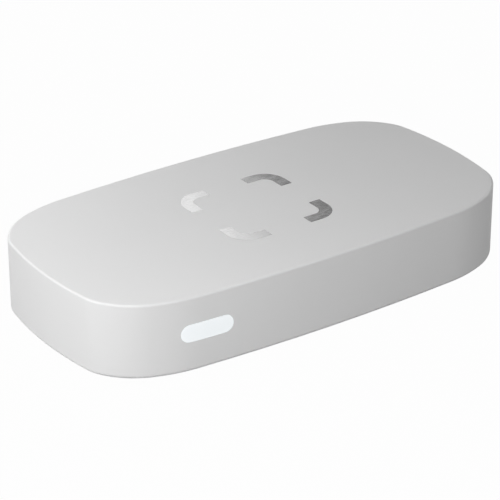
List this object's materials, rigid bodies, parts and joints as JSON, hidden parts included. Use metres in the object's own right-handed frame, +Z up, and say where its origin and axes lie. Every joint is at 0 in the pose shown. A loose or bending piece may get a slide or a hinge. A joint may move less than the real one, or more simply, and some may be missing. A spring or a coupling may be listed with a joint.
{
  "type": "video capture box",
  "caption": "Low white video capture box with a soft-cornered plan, a lit pill window on the front wall, HDMI and USB-C sockets in the back wall and rubber feet.",
  "frame": {"origin": "on the table under the middle of the box, at the undersides of the feet", "axes": "+X to the right along the front wall (the longest side), +Y from the status light to the sockets, +Z up"},
  "size_m": [0.106, 0.056, 0.0176],
  "materials": {
    "cover_white": "satin, very fine grain",
    "base_grey": "matte, fine grain",
    "foot_rubber": "matte",
    "screw_steel": "plated",
    "light_window": "milky, smooth",
    "shroud_black": "matte",
    "led_white": "smooth",
    "board_green": "solder mask",
    "port_steel": "nickel plated",
    "insulator_black": "matte",
    "contact_gold": "plated",
    "chip_black": "moulded",
    "can_steel": "plain",
    "inductor_grey": "moulded powder",
    "can_aluminium": "plain",
    "capacitor_tan": "fired",
    "pad_blue": "soft",
    "sink_aluminium": "extruded",
    "emblem_silver": "polished"
  },
  "bodies": {
    "root": {"top_cover": "cover_white", "base_cover": "base_grey", "foot_front_left": "foot_rubber", "foot_front_right": "foot_rubber", "foot_back_left": "foot_rubber", "foot_back_right": "foot_rubber", "cover_screws": "screw_steel", "light_guide": "light_window", "light_shroud": "shroud_black", "status_leds": "led_white", "main_board": "board_green", "board_screws": "screw_steel", "hdmi_out_shell": "port_steel", "hdmi_out_insulator": "insulator_black", "hdmi_out_contacts": "contact_gold", "hdmi_in_shell": "port_steel", "hdmi_in_insulator": "insulator_black", "hdmi_in_contacts": "contact_gold", "usb_shell": "port_steel", "usb_insulator": "insulator_black", "usb_contacts": "contact_gold", "video_processor": "chip_black", "memory_chips": "chip_black", "hdmi_receiver": "chip_black", "hdmi_splitter": "chip_black", "usb_controller": "chip_black", "flash_chip": "chip_black", "crystals": "can_steel", "regulators": "chip_black", "inductors": "inductor_grey", "bulk_capacitors": "can_aluminium", "ceramic_capacitors": "capacitor_tan", "esd_arrays": "chip_black", "thermal_pads": "pad_blue", "heat_sink": "sink_aluminium", "top_emblem": "emblem_silver"}
  },
  "joints": []
}
